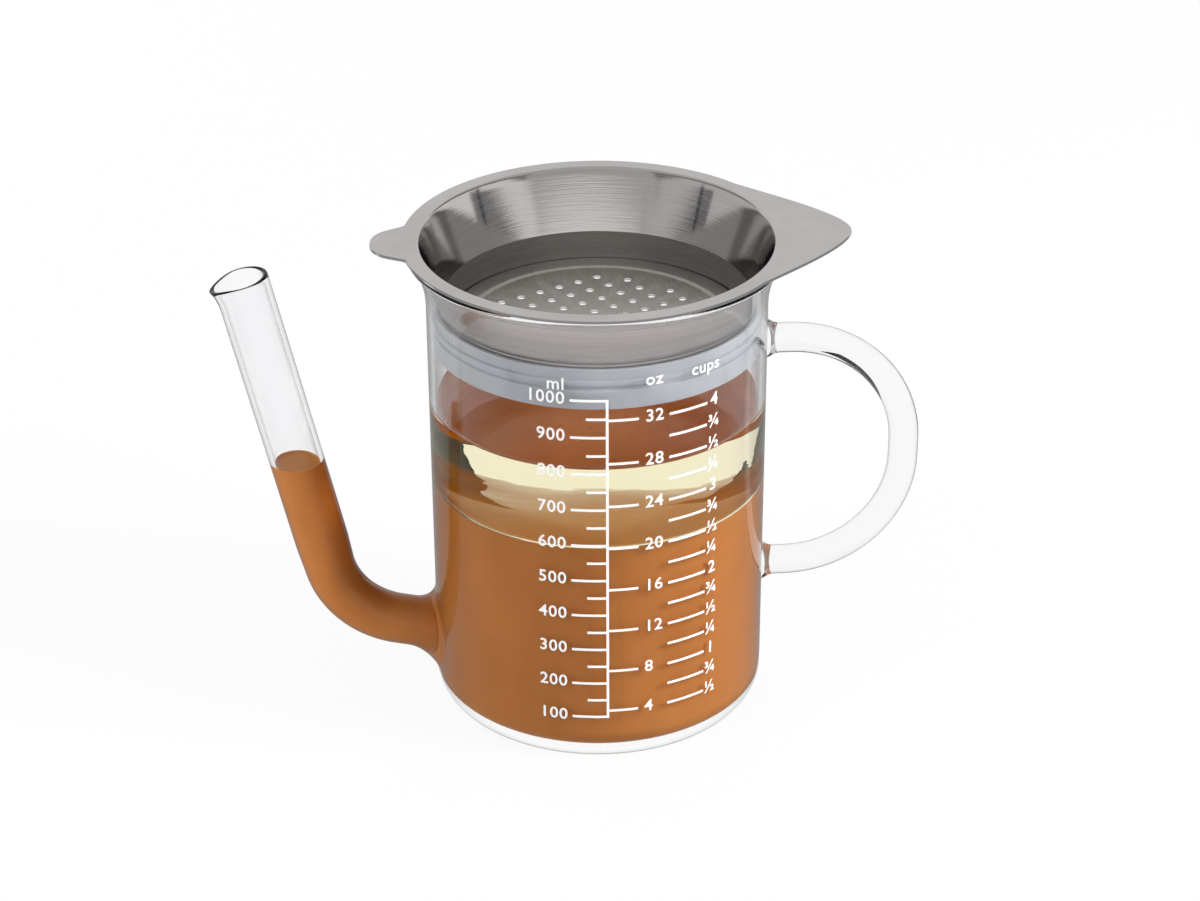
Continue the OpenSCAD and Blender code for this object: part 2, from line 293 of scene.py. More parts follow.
def drape(piece):
    """Bends the spout's fused foot round the body, so that it leaves the glass evenly."""
    for v in piece.data.vertices:
        s = (v.co - Route.root).dot(Route.first)
        if s > SPOUT_FOOT_L or v.co.z > Route.leg_start.z:
            continue
        on_face = v.co - Route.first * s
        surface_x = -math.sqrt(BODY_R ** 2 - on_face.y ** 2)
        share = 1.0 if s <= 0 else (1 - s / SPOUT_FOOT_L) ** 2
        v.co += Route.first * ((surface_x - on_face.x) / Route.first.x * share)


def pull_lip(piece, lip_l=9 * MM, pull=1.9 * MM, droop=1.6 * MM):
    """Pulls the mouth's far side out into a narrow pouring lip."""
    out = Vector((-Route.leg.z, 0, Route.leg.x))
    for v in piece.data.vertices:
        from_leg = v.co - Route.leg_start
        t = from_leg.dot(Route.leg)
        if t < Route.leg_l - lip_l:
            continue
        across = from_leg - Route.leg * t
        facing = max(0.0, across.dot(out) / max(across.length, 1e-6))
        rise = (t - Route.leg_l + lip_l) / lip_l
        v.co += (out * (pull * rise ** 2.2 * facing ** 4)
                 - Route.leg * (droop * rise ** 3 * facing ** 3))


def spout_shell():
    """Spout drawn as one tube: up the outside, over the rounded mouth and back down the bore."""
    shell = start_rod("spout", SPOUT_FOOT_R, Route.root - Route.first * SINK, Route.first, TUBE_SIDES)
    centre = Route.root.copy()
    radius = SPOUT_FOOT_R
    draw(Route.first * SINK, centre)

    def along(direction, length, new_radius):
        """Draws the tube's end further and brings it to a new radius."""
        nonlocal centre, radius
        centre = centre + direction * length
        draw(direction * length, centre, new_radius / radius)
        radius = new_radius

    foot_steps, reached = 10, 0
    for i in range(1, foot_steps + 1):
        u = math.pi / 2 * i / foot_steps
        s = SPOUT_FOOT_L * (1 - math.cos(u))
        r = SPOUT_ROOT_R + (SPOUT_FOOT_R - SPOUT_ROOT_R) * (1 - math.sin(u))
        along(Route.first, s - reached, r)
        reached = s
    straight = (Route.bend_start - centre).length
    along(Route.first, straight / 2, SPOUT_ROOT_R)
    along(Route.first, straight / 2, SPOUT_ROOT_R)
    spin_bend(Route.turn)
    centre = Route.leg_start.copy()

    lip_steps, rim_steps, half = 8, 6, SPOUT_WALL / 2
    plain = Route.leg_l - LIP_L
    along(Route.leg, plain * LEG_EASE, SPOUT_R)
    along(Route.leg, plain * (1 - LEG_EASE), SPOUT_R)
    for _ in range(lip_steps):
        along(Route.leg, (LIP_L - half) / lip_steps, SPOUT_R)
    for i in range(1, rim_steps + 1):
        a, b = math.pi * (i - 1) / rim_steps, math.pi * i / rim_steps
        along(Route.leg, half * (math.sin(b) - math.sin(a)), SPOUT_R - half * (1 - math.cos(b)))
    bore = SPOUT_R - SPOUT_WALL
    for _ in range(lip_steps):
        along(-Route.leg, (LIP_L - half) / lip_steps, bore)
    along(-Route.leg, plain * (1 - LEG_EASE), bore)
    along(-Route.leg, plain * LEG_EASE, SPOUT_ROOT_R - SPOUT_WALL)
    spin_bend(-Route.turn)
    centre = Route.bend_start.copy()
    along(-Route.first, (Route.bend_start - Route.root).length + SINK, SPOUT_ROOT_R - SPOUT_WALL)

    # The two end faces lie inside the beaker's wall: they become one ring between foot and bore
    mode("OBJECT")
    for face in shell.data.polygons:
        face.select = len(face.vertices) == TUBE_SIDES
    mode("EDIT")
    bpy.ops.mesh.select_mode(type="FACE")
    bpy.ops.mesh.delete(type="ONLY_FACE")
    bpy.ops.mesh.select_mode(type="EDGE")
    bpy.ops.mesh.select_all(action="DESELECT")
    bpy.ops.mesh.select_non_manifold(extend=False)
    bpy.ops.mesh.bridge_edge_loops()
    bpy.ops.mesh.select_mode(type="VERT")
    finish_mesh(shell)
    drape(shell)
    pull_lip(shell)
    return shell


def root_hole():
    """What is cut from the beaker's wall where the gravy goes into the spout."""
    clear = SPOUT_ROOT_R - SPOUT_WALL + WETTING
    back, through = Route.first * 6 * MM, Route.first * 9 * MM
    hole = start_rod("root_hole", clear, Route.root - back, Route.first, TUBE_SIDES)
    draw(through, Route.root)
    return finish_mesh(hole)


def handle_rod():
    """Bent solid rod with a conical fused foot at each end."""
    top_z, low_z = HANDLE_MID_Z + HANDLE_H / 2, HANDLE_MID_Z - HANDLE_H / 2
    corner_x = HANDLE_AXIS_X - HANDLE_CORNER_R
    start = Vector((BODY_R - SINK, 0, top_z))
    rod = start_rod("handle", HANDLE_FOOT_R, start, Vector((1, 0, 0)))
    # Share of the foot's length, and the radius there
    foot = [(0.0, HANDLE_FOOT_R), (0.25, 5.75 * MM), (0.6, 5.0 * MM), (0.9, ROD_R), (1.0, ROD_R)]

    def taper(x, radius, rings, z):
        """Draws the rod through a foot's rings, and says where and how thick it ends."""
        for share, r in rings:
            next_x = BODY_R + share * HANDLE_FOOT_L
            draw((next_x - x, 0, 0), (next_x, 0, z), r / radius)
            x, radius = next_x, r
        return x, radius

    def bend(z):
        """Turns the rod's end through a quarter circle."""
        bpy.ops.mesh.spin(steps=HANDLE_BEND_STEPS, angle=math.pi / 2, center=(corner_x, 0, z),
                          axis=(0, -1, 0))

    x, radius = taper(BODY_R - SINK, HANDLE_FOOT_R, foot, top_z)
    draw((corner_x - x, 0, 0), (corner_x, 0, top_z))
    bend(top_z - HANDLE_CORNER_R)
    draw((0, 0, 2 * HANDLE_CORNER_R - HANDLE_H), (0, 0, 0))
    bend(low_z + HANDLE_CORNER_R)
    x, _ = taper(corner_x, radius, reversed(foot), low_z)
    draw((BODY_R - SINK - x, 0, 0), (0, 0, 0))
    return finish_mesh(rod)


def fused_glass():
    """The whole jug as one piece of glass, with no skin left inside where parts are fused."""
    jug = beaker()
    combine(jug, root_hole(), "DIFFERENCE")
    combine(jug, spout_shell(), "UNION")
    combine(jug, handle_rod(), "UNION")
    jug.name = "fused_glass_jug"
    return finish_mesh(jug, angle=50)


# -------------------- filling

def surface(z, rim_rise, reach):
    """A liquid's top from the wall to the middle, drawn up a little where it wets the glass."""
    count, middle_step = 10, 2.2 * MM
    points = []
    for i in range(count + 1):
        away = reach * (i / count) ** 1.5
        points.append((INNER_R - away, z + rim_rise * (1 - i / count) ** 3))
    return points + line(points[-1], (0, z), middle_step)


def spout_gravy():
    """The gravy's arm in the spout, from inside the beaker up to its own level."""
    bore = SPOUT_ROOT_R - SPOUT_WALL + WETTING
    back, past_level = Route.first * 8 * MM, Route.leg * 60 * MM
    arm = start_rod("gravy_arm", bore, Route.root - back, Route.first, TUBE_SIDES)
    draw(Route.bend_start - Route.root + back, (0, 0, 0))
    spin_bend(Route.turn)
    step = LEG_EASE * (Route.leg_l - LIP_L)
    bore_leg = SPOUT_R - SPOUT_WALL + WETTING
    draw(Route.leg * step, Route.leg_start + Route.leg * step, bore_leg / bore)
    draw(past_level, (0, 0, 0))
    select_mesh()
    bpy.ops.mesh.bisect(plane_co=(0, 0, SPOUT_GRAVY_Z), plane_no=(0, 0, 1), use_fill=True, clear_outer=True)
    finish_mesh(arm)
    only(arm)
    mode("EDIT")
    bpy.ops.mesh.select_all(action="DESELECT")
    mode("OBJECT")
    for face in arm.data.polygons:
        face.select = face.normal.z > 0.99 and abs(face.center.z - SPOUT_GRAVY_Z) < NEAR
    mode("EDIT")
    # It stands a little higher where it wets the spout's wall: rings inwards and their drops in mm
    for width, drop in ((0.5, 0.35), (0.7, 0.2), (1.2, 0.05)):
        bpy.ops.mesh.inset(thickness=width * MM, depth=0)
        bpy.ops.transform.translate(value=(0, 0, -drop * MM))
    mode("OBJECT")
    return arm


def gravy_filling():
    """Gravy in the beaker and in the spout, in one piece."""
    r = INNER_R + WETTING
    corner = CORNER_R - WALL
    wall_step = 3 * MM
    profile = [(0, FLOOR_T - WETTING), (INNER_R - corner, FLOOR_T - WETTING)]
    profile += arc((INNER_R - corner, FLOOR_T + corner), corner + WETTING, -90, 0, 10)[1:]
    profile += line((r, FLOOR_T + corner), (r, GRAVY_Z + GRAVY_CLIMB), wall_step)
    profile += surface(GRAVY_Z, GRAVY_CLIMB, GRAVY_REACH)
    core = turned("gravy", profile)
    rippled(core, GRAVY_Z - NEAR, GRAVY_Z + NEAR)
    combine(core, spout_gravy(), "UNION")
    return finish_mesh(core, angle=50)


def ripple(x, y):
    """Height of the gravy's slight swell, and of the slow waves on it, under the fat."""
    swell = SWELL * (0.5 - (x * x + y * y) / INNER_R ** 2)
    return swell + sum(h * MM * math.sin(2 * math.pi * (x / (a * MM * 2) + y / (b * MM * 2)) + phase)
                       for h, a, b, phase in WAVES)


def rippled(piece, low, high):
    """Gives swell and waves to all that lies between two heights, fading out at the wall."""
    for v in piece.data.vertices:
        if low < v.co.z < high:
            away = min(1.0, (INNER_R + WETTING - off_axis(v.co)) / GRAVY_REACH)
            v.co.z += ripple(v.co.x, v.co.y) * max(0.0, away)


def fat_layer():
    """Clear fat lying on the gravy, wetting the glass all round."""
    r = INNER_R + WETTING * 0.8
    low = GRAVY_Z + FILM
    wall_step = 3 * MM
    profile = [(0, low)] + surface(low, GRAVY_CLIMB, GRAVY_REACH)[-2::-1]
    profile[-1] = (r, low + GRAVY_CLIMB)
    profile += line((r, low + GRAVY_CLIMB), (r, FAT_TOP), wall_step)
    profile += surface(FAT_Z, FAT_CLIMB, FAT_REACH)
    layer = turned("fat_layer", profile)
    rippled(layer, low - NEAR, low + NEAR)
    return layer


def face_slots(piece, pick):
    """Gives each face the material slot that its middle and its direction call for."""
    for face in piece.data.polygons:
        face.material_index = pick(face.center, face.normal)


# -------------------- strainer

RIM_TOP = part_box("strainer_funnel")[1].z
SHEET_T = 0.9 * MM
COLLAR_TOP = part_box("strainer_collar")[1].z
COLLAR_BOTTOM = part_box("strainer_collar")[0].z
COLLAR_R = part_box("strainer_collar")[1].x
MOUTH_R = 54.25 * MM
RIM_R = 59.55 * MM
GRIP_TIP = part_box("strainer_funnel")[1].x
THUMB_TIP = -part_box("strainer_funnel")[0].x
# Each tab's half angle at the rim in degrees, and half its width at the tip
GRIP_TURN, GRIP_W = 44, 12 * MM
THUMB_TURN, THUMB_W = 14, 11.5 * MM
# The draining holes all lie inside this radius
HOLES_WITHIN = 37 * MM


def tab_edge(angle, tip, end_w):
    """Half of a tab's edge as (angle round the rim, radius) pairs, from the rim to the tip."""
    steps, rim_edge = 60, 0.45 * MM
    a = math.radians(angle)
    root = Vector((math.cos(a), math.sin(a))) * (RIM_R - rim_edge)
    ease = root + RIM_R * math.sin(a) / 3 * Vector((math.sin(a), -math.cos(a)))
    points = (root, ease, Vector((tip, end_w)), Vector((tip, 0)))
    edge = []
    for i in range(steps + 1):
        t = i / steps
        share = ((1 - t) ** 3, 3 * t * (1 - t) ** 2, 3 * t * t * (1 - t), t ** 3)
        p = sum((w * q for w, q in zip(share, points)), Vector((0, 0)))
        edge.append((math.atan2(p.y, p.x), p.length))
    return edge[::-1]


def edge_radius(turn, edge):
    """The tab's radius at an angle from its own middle, or the rim's where the tab has ended."""
    if turn >= edge[-1][0]:
        return RIM_R
    for (a, r), (b, q) in zip(edge, edge[1:]):
        if a <= turn <= b:
            return max(RIM_R, r + (q - r) * (turn - a) / max(b - a, 1e-9))
    return edge[0][1]


def funnel_sheet():
    """Rim plate with its two tabs, rolled at the mouth into the tapered wall."""
    slope = math.atan2(MOUTH_R - COLLAR_R + SHEET_T, RIM_TOP - COLLAR_TOP)
    steep = 90 - math.degrees(slope)
    roll = 1.15 * MM
    reach = roll * math.tan(math.radians(steep / 2))
    centre = (MOUTH_R + reach, RIM_TOP - roll)
    chamfer, step, edge_zone = 0.15 * MM, 2 * MM, 0.3 * MM
    low = RIM_TOP - SHEET_T
    profile = [(COLLAR_R - SHEET_T, COLLAR_TOP)]
    inner = arc(centre, roll, 90 + steep, 90, 8)
    profile += line(profile[0], inner[0], step) + inner[1:]
    profile += line(inner[-1], (RIM_R - chamfer, RIM_TOP), step)
    profile += [(RIM_R, RIM_TOP - chamfer), (RIM_R, low + chamfer), (RIM_R - chamfer, low)]
    outer = arc(centre, roll - SHEET_T, 90, 90 + steep, 6)
    profile += outer
    profile += line(outer[-1], (COLLAR_R, COLLAR_TOP), step)
    sheet = turned("funnel_sheet", profile, steps=2 * ROUND_STEPS, closed=True)
    grip, thumb = tab_edge(GRIP_TURN, GRIP_TIP, GRIP_W), tab_edge(THUMB_TURN, THUMB_TIP, THUMB_W)
    for v in sheet.data.vertices:
        r = off_axis(v.co)
        if r < RIM_R - edge_zone:
            continue
        turn = abs(math.atan2(v.co.y, v.co.x))
        edge = edge_radius(turn, grip) if turn < math.pi / 2 else edge_radius(math.pi - turn, thumb)
        grow = (r + edge - RIM_R) / r
        v.co.x *= grow
        v.co.y *= grow
    return finish_mesh(sheet)


def collar_band():
    """Straight band with a rounded fold into the flange that carries the plate."""
    flange_w, fold, inner_fold, step = 2.7 * MM, 1.0 * MM, 0.25 * MM, 2 * MM
    flange_r = COLLAR_R - SHEET_T - flange_w
    top_in = (COLLAR_R - SHEET_T, COLLAR_TOP)
    profile = [top_in, (COLLAR_R, COLLAR_TOP)]
    profile += line((COLLAR_R, COLLAR_TOP), (COLLAR_R, COLLAR_BOTTOM + fold), step)
    profile += arc((COLLAR_R - fold, COLLAR_BOTTOM + fold), fold, 0, -90, 5)[1:]
    profile += [(flange_r, COLLAR_BOTTOM), (flange_r, COLLAR_BOTTOM + SHEET_T)]
    corner = (COLLAR_R - SHEET_T - inner_fold, COLLAR_BOTTOM + SHEET_T + inner_fold)
    profile += arc(corner, inner_fold, -90, 0, 4)
    profile += line((COLLAR_R - SHEET_T, corner[1]), top_in, step)[:-1]
    return turned("collar_band", profile, closed=True)


def eased(corners, radius, steps=4):
    """A closed profile with each of its corners rounded."""
    # No rounding takes more than this share of a side
    most = 0.45
    points = []
    for before, corner, after in zip(corners[-1:] + corners[:-1], corners, corners[1:] + corners[:1]):
        corner, back, ahead = Vector(corner), Vector(before), Vector(after)
        to_back, to_ahead = (back - corner).normalized(), (ahead - corner).normalized()
        half = to_back.angle(to_ahead) / 2
        cut = min(radius / math.tan(half), most * (back - corner).length, most * (ahead - corner).length)
        for i in range(steps + 1):
            t = i / steps
            # A quadratic curve from one cut point to the other, drawn to the corner
            point = ((1 - t) ** 2 * (corner + to_back * cut) + 2 * t * (1 - t) * corner
                     + t * t * (corner + to_ahead * cut))
            points.append(tuple(point))
    return points


def drain_pins(low, high):
    """One pin with a widened end above and below, copied to every hole of the pattern."""
    pitch, turn, field_r = 7 * MM, math.radians(28), 34.3 * MM
    hole_r, flare, sides = 1 * MM, 0.33 * MM, 20
    beyond = 1 * MM
    heights = (low - beyond, low, low + flare, high - flare, high, high + beyond)
    radii = (hole_r + flare, hole_r + flare, hole_r, hole_r, hole_r + flare, hole_r + flare)
    pin = start_rod("drain_pin", radii[0], (0, 0, heights[0]), Vector((0, 0, 1)), sides)
    for (z, r), (next_z, next_r) in zip(zip(heights, radii), zip(heights[1:], radii[1:])):
        draw((0, 0, next_z - z), (0, 0, next_z), next_r / r)
    finish_mesh(pin)
    rows = math.ceil(field_r / pitch)
    copies = []
    for i in range(-rows, rows + 1):
        for j in range(-rows, rows + 1):
            x, y = (i + 0.5) * pitch, j * pitch
            if math.hypot(x, y) >= field_r:
                continue
            copy = pin.copy()
            copy.data = pin.data.copy()
            bpy.context.collection.objects.link(copy)
            copy.location = (x * math.cos(turn) - y * math.sin(turn),
                             x * math.sin(turn) + y * math.cos(turn), 0)
            copies.append(copy)
    bpy.data.objects.remove(pin)
    only(copies[0])
    for copy in copies:
        copy.select_set(True)
    bpy.ops.object.join()
    settle()
    return copies[0]


def drain_plate():
    """Dished disc, with every draining hole countersunk on both faces."""
    plate_r, ring_w, dish, thick, edge = 46.8 * MM, 6 * MM, 0.5 * MM, 0.7 * MM, 0.2 * MM
    z = COLLAR_BOTTOM + SHEET_T
    dish_r = plate_r - ring_w
    ease = 1.2 * MM
    profile = [(0, z - dish), (dish_r - ease, z - dish), (dish_r - ease / 2, z - dish * 0.8),
               (dish_r, z - dish * 0.2), (dish_r + ease / 2, z), (plate_r - edge, z), (plate_r, z + edge),
               (plate_r, z + thick - edge), (plate_r - edge, z + thick), (dish_r + ease / 2, z + thick),
               (dish_r, z + thick - dish * 0.2), (dish_r - ease / 2, z + thick - dish * 0.8),
               (dish_r - ease, z + thick - dish), (0, z + thick - dish)]
    plate = turned("drain_plate", profile)
    combine(plate, drain_pins(z - dish, z - dish + thick), "DIFFERENCE")
    return finish_mesh(plate, angle=25)


def seal_sleeve():
    """Sleeve with rounded lips, hooked under the collar's foot."""
    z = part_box("silicone_seal")[0].z
    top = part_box("silicone_seal")[1].z
    out_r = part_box("silicone_seal")[1].x
    in_r, lip_r, lip_t, groove = COLLAR_R + 0.05 * MM, COLLAR_R - 2.2 * MM, 2.8 * MM, 0.8 * MM
    ridge, rounding = z + (top - z) / 2, 0.3 * MM
    # From the top inside, under the collar's foot and up the outside with its groove and its ridge
    corners = [(in_r, top), (in_r, z + lip_t), (lip_r, z + lip_t), (lip_r, z), (out_r, z),
               (out_r, ridge - 0.3 * MM), (out_r - groove, ridge), (out_r - groove, ridge + 0.9 * MM),
               (out_r, ridge + 1.2 * MM), (out_r, ridge + 2.7 * MM), (out_r - groove, ridge + 3 * MM),
               (out_r - groove, top)]
    return turned("seal_sleeve", eased(corners, rounding), closed=True)


# -------------------- print

PRINT_R = BODY_R + 0.03 * MM
PRINT_T = 0.12 * MM
# Level area of beaker and spout together, and what the rounded corner at the floor takes off the volume
BORE_AREA = math.pi * INNER_R ** 2 + math.pi * (SPOUT_R - SPOUT_WALL) ** 2 / math.cos(SPOUT_LEAN)
CORNER_LOSS = 2 * math.pi * INNER_R * (1 - math.pi / 4) * (CORNER_R - WALL) ** 2
PRINT_TURN = -0.9
OUNCE_ML = 29.574
# Places round the jug in degrees, lifts over the marks, and letter sizes
ML_TURN, OZ_TURN, CUP_TURN, CUP_WORD_TURN = -13.6, 12.5, 38.2, 34.5
NUMBER_LIFT, CUP_LIFT, ML_WORD_LIFT, WORD_LIFT = 0.4 * MM, 0.5 * MM, 5 * MM, 5.8 * MM
NUMBER_SIZE, CUP_SIZE, WORD_SIZE = 5.6 * MM, 5.8 * MM, 5.4 * MM
LETTER_SPACING = 1.08
# How much bolder the strokes are drawn, as a share of the letter size
LETTER_WEIGHT = 0.012


def level(ml):
    """Height at which the jug holds this much, with the same level in beaker and spout."""
    return FLOOR_T + (ml * 1e-6 + CORNER_LOSS) / BORE_AREA


def label(words, angle, z, align, size):
    """One label laid out flat, as on the transfer sheet: x runs round the jug, y up it."""
    deselect()
    bpy.ops.object.text_add(location=(0, 0, 0))
    text = bpy.context.object
    text.data.body = words
    text.data.size = size
    text.data.align_x = align
    text.data.align_y = "CENTER"
    text.data.space_character = LETTER_SPACING
    text.data.resolution_u = 3
    text.data.offset = LETTER_WEIGHT * size
    text.data.extrude = PRINT_T / 2
    bpy.ops.object.convert(target="MESH")
    text.location = (math.radians(angle) * PRINT_R, z, 0)
    settle()
    return text


def scale_numbers():
    """All the numbers and unit words, wrapped round the glass beside their marks."""
    labels = []
    for ml in range(100, 1001, 100):
        labels.append(label(str(ml), ML_TURN, level(ml) + NUMBER_LIFT, "RIGHT", NUMBER_SIZE))
    for ounces in range(4, 33, 4):
        z = level(ounces * OUNCE_ML) + NUMBER_LIFT
        labels.append(label(str(ounces), OZ_TURN, z, "LEFT", NUMBER_SIZE))
    fractions = {0: "", 1: "¼", 2: "½", 3: "¾"}
    for quarter in range(2, 17):
        words = fractions[quarter % 4] or str(quarter // 4)
        labels.append(label(words, CUP_TURN, level(quarter * 2 * OUNCE_ML) + CUP_LIFT, "CENTER", CUP_SIZE))
    top = level(1000)
    labels.append(label("ml", ML_TURN, top + ML_WORD_LIFT, "RIGHT", WORD_SIZE))
    labels.append(label("oz", OZ_TURN, top + WORD_LIFT, "LEFT", WORD_SIZE))
    labels.append(label("cups", CUP_WORD_TURN, top + WORD_LIFT, "CENTER", WORD_SIZE))
    only(labels[0])
    for text in labels:
        text.select_set(True)
    bpy.ops.object.join()
    numbers = bpy.context.object
    numbers.name = "scale_numbers"
    numbers.data.name = "scale_numbers"
    # Cuts every millimetre from left to right, so that the letters can follow the curve
    left, right = -26, 40
    mode("EDIT")
    for x in range(left, right):
        select_mesh()
        bpy.ops.mesh.bisect(plane_co=(x * MM, 0, 0), plane_no=(1, 0, 0))
    mode("OBJECT")
    for v in numbers.data.vertices:
        turn = v.co.x / PRINT_R + math.radians(PRINT_TURN)
        r = PRINT_R + PRINT_T / 2 + v.co.z
        v.co = (r * math.sin(turn), -r * math.cos(turn), v.co.y)
    return finish_mesh(numbers, angle=30)


# -------------------- materials

GLASS_IOR, FAT_IOR, GRAVY_IOR, SILICONE_IOR = 1.47, 1.46, 1.36, 1.41
# The step from fat to gravy, which places the pale band reflected under the fat
FAT_ON_GRAVY_IOR = 1.0575
# Weakens the mirror image on glass and fat
MIRROR_TINT = (0.4, 0.4, 0.4, 1)
# Painted light: the gravy is painted paler by this factor towards the spout, from the first X to the second
PAINTED_SPOUT_LIGHT = 1.3
PAINTED_LIGHT_FROM, PAINTED_LIGHT_TO = -45 * MM, -75 * MM


def fill_in(node, inputs):
    """Sets a node's sockets. An underscore stands for each space in their names."""
    for name, value in inputs.items():
        node.inputs[name.replace("_", " ")].default_value = value


class Finish:
    """A material under construction: short calls for the nodes used below."""

    def __init__(self, name):
        """Starts from a plain principled shader."""
        self.material = bpy.data.materials.new(name)
        self.material.use_nodes = True
        self.tree = self.material.node_tree
        self.shader = self.tree.nodes["Principled BSDF"]
        self.output = self.tree.nodes["Material Output"]

    def add(self, kind, **inputs):
        """A new node with some of its sockets set."""
        node = self.tree.nodes.new(kind)
        fill_in(node, inputs)
        return node

    def set(self, **inputs):
        """Sets sockets of the shader itself."""
        fill_in(self.shader, inputs)

    def link(self, out, into):
        """Joins one node's outlet to another's socket."""
        self.tree.links.new(out, into)

    def place(self, scale=(1, 1, 1)):
        """Object coordinates in metres, stretched."""
        coords = self.add("ShaderNodeTexCoord")
        mapping = self.add("ShaderNodeMapping", Scale=scale)
        self.link(coords.outputs["Object"], mapping.inputs["Vector"])
        return mapping.outputs["Vector"]

    def noise(self, where, scale, detail=3.0, roughness=0.5):
        """Cloudy noise between 0 and 1."""
        node = self.add("ShaderNodeTexNoise", Scale=scale, Detail=detail, Roughness=roughness)
        self.link(where, node.inputs["Vector"])
        return node.outputs["Fac"]

    def spread(self, value, low, high, from_low=0.3, from_high=0.7):
        """Maps one range of a value to another."""
        node = self.add("ShaderNodeMapRange", From_Min=from_low, From_Max=from_high, To_Min=low, To_Max=high)
        self.link(value, node.inputs["Value"])
        return node.outputs["Result"]

    def ramp(self, value, *stops):
        """Colours for a value, given as (place, colour) stops."""
        node = self.add("ShaderNodeValToRGB")
        elements = node.color_ramp.elements
        while len(elements) < len(stops):
            elements.new(0.5)
        for element, (at, colour) in zip(elements, stops):
            element.position = at
            element.color = (*colour, 1)
        self.link(value, node.inputs["Fac"])
        return node.outputs["Color"]

    def toned(self, grain, dark, light, smooth, rough):
        """Colour and roughness that both follow one noise."""
        self.link(self.ramp(grain, (0.3, dark), (0.7, light)), self.shader.inputs["Base Color"])
        self.link(self.spread(grain, smooth, rough), self.shader.inputs["Roughness"])

    def bump(self, height, strength, distance):
        """Slight relief in the surface's shading."""
        node = self.add("ShaderNodeBump", Strength=strength, Distance=distance)
        self.link(height, node.inputs["Height"])
        self.link(node.outputs["Normal"], self.shader.inputs["Normal"])

    def clear_shadow(self, tint):
        """Lets lamp light straight through, so that glass doesn't throw a solid shadow."""
        light = self.add("ShaderNodeLightPath")
        clear = self.add("ShaderNodeBsdfTransparent", Color=(*tint, 1))
        mix = self.add("ShaderNodeMixShader")
        self.link(light.outputs["Is Shadow Ray"], mix.inputs[0])
        self.link(self.shader.outputs[0], mix.inputs[1])
        self.link(clear.outputs[0], mix.inputs[2])
        self.link(mix.outputs[0], self.output.inputs["Surface"])

    def absorb(self):
        """The fat's own colour, which deepens with the length of fat that light crosses."""
        volume = self.add("ShaderNodeVolumeAbsorption", Color=(0.94, 0.86, 0.40, 1), Density=8)
        self.link(volume.outputs[0], self.output.inputs["Volume"])

    def dress(self, piece, *others):
        """Puts this material on a piece, and others in its further slots."""
        piece.data.materials.clear()
        for finish in (self, *others):
            piece.data.materials.append(finish.material)


def clear_glass():
    """Clear glass with painted dark edges, its colour darkening where it is seen edge-on, and the faint drawn
    waviness of blown glass.
    """
    glass = Finish("clear_borosilicate")
    glass.set(Roughness=0.0, IOR=GLASS_IOR, Transmission_Weight=1, Specular_Tint=MIRROR_TINT)
    # The base colour darkens where the glass is seen edge-on: painted shade that draws the dark edges
    edge = glass.add("ShaderNodeLayerWeight", Blend=0.5)
    painted_edge_shade = glass.ramp(edge.outputs["Facing"], (0.46, (0.95, 0.95, 0.96)), (0.66, (0.68, 0.69, 0.70)),
                       (0.85, (0.26, 0.27, 0.28)), (1.0, (0.04, 0.04, 0.04)))
    glass.link(painted_edge_shade, glass.shader.inputs["Base Color"])
    glass.bump(glass.noise(glass.place((1, 1, 0.35)), 60, detail=2), 0.12, 0.0004)
    glass.clear_shadow((0.97, 0.98, 0.98))
    return glass


def gravy_finish(name, dark, light):
    """Cloudy gravy, painted paler in the spout: painted light that brightens the spout's gravy."""
    gravy = Finish(name)
    where = gravy.place((1, 1, 0.5))
    cloud = gravy.noise(where, 55, detail=4)
    tone = gravy.ramp(cloud, (0.3, dark), (0.7, light))
    # A paler copy of the gravy's tone, blended in towards the spout: painted light
    painted_lit = gravy.ramp(cloud, (0.3, [PAINTED_SPOUT_LIGHT * c for c in dark]), (0.7, [PAINTED_SPOUT_LIGHT * c for c in light]))
    along = gravy.add("ShaderNodeSeparateXYZ")
    gravy.link(gravy.place(), along.inputs[0])
    blend = gravy.add("ShaderNodeMix")
    blend.data_type = "RGBA"
    gravy.link(gravy.spread(along.outputs["X"], 0, 1, PAINTED_LIGHT_FROM, PAINTED_LIGHT_TO), blend.inputs["Factor"])
    gravy.link(tone, blend.inputs["A"])
    gravy.link(painted_lit, blend.inputs["B"])
    gravy.link(blend.outputs["Result"], gravy.shader.inputs["Base Color"])
    gravy.link(gravy.spread(gravy.noise(where, 120), 0.34, 0.40), gravy.shader.inputs["Roughness"])
    gravy.set(IOR=GRAVY_IOR, Specular_IOR_Level=0.15, Subsurface_Weight=0.12,
              Subsurface_Radius=(1.0, 0.5, 0.25), Subsurface_Scale=0.003)
    gravy.bump(gravy.noise(where, 60, detail=2), 0.05, 0.0006)
    return gravy


def fat_finish(name, ior=FAT_IOR):
    """Clear fat. Its underside is an edge between two liquids, so it bends light only a little."""
    fat = Finish(name)
    fat.set(Base_Color=(1, 1, 1, 1), Roughness=0.0, IOR=ior, Transmission_Weight=1, Specular_Tint=MIRROR_TINT)
    fat.bump(fat.noise(fat.place(), 70, detail=2), 0.1, 0.0008)
    fat.absorb()
    fat.clear_shadow((0.97, 0.93, 0.75))
    return fat


def wetted_finish(name, filled):
    """Where liquid lies on glass there is nothing to see: light goes straight through."""
    wet = Finish(name)
    wet.set(Base_Color=(1, 1, 1, 1), Alpha=0.0)
    if filled:
        wet.absorb()
    return wet


def steel_finish(name, stretch, scale, detail, grain, dark, light, smooth, rough, brushing, relief, depth):
    """Steel whose tone, roughness and relief all follow one stretched noise."""
    steel = Finish(name)
    streaks = steel.noise(steel.place(stretch), scale, detail=detail, roughness=grain)
    steel.toned(streaks, dark, light, smooth, rough)
    steel.set(Metallic=1.0, Anisotropic=brushing)
    steel.bump(streaks, relief, depth)
    return steel


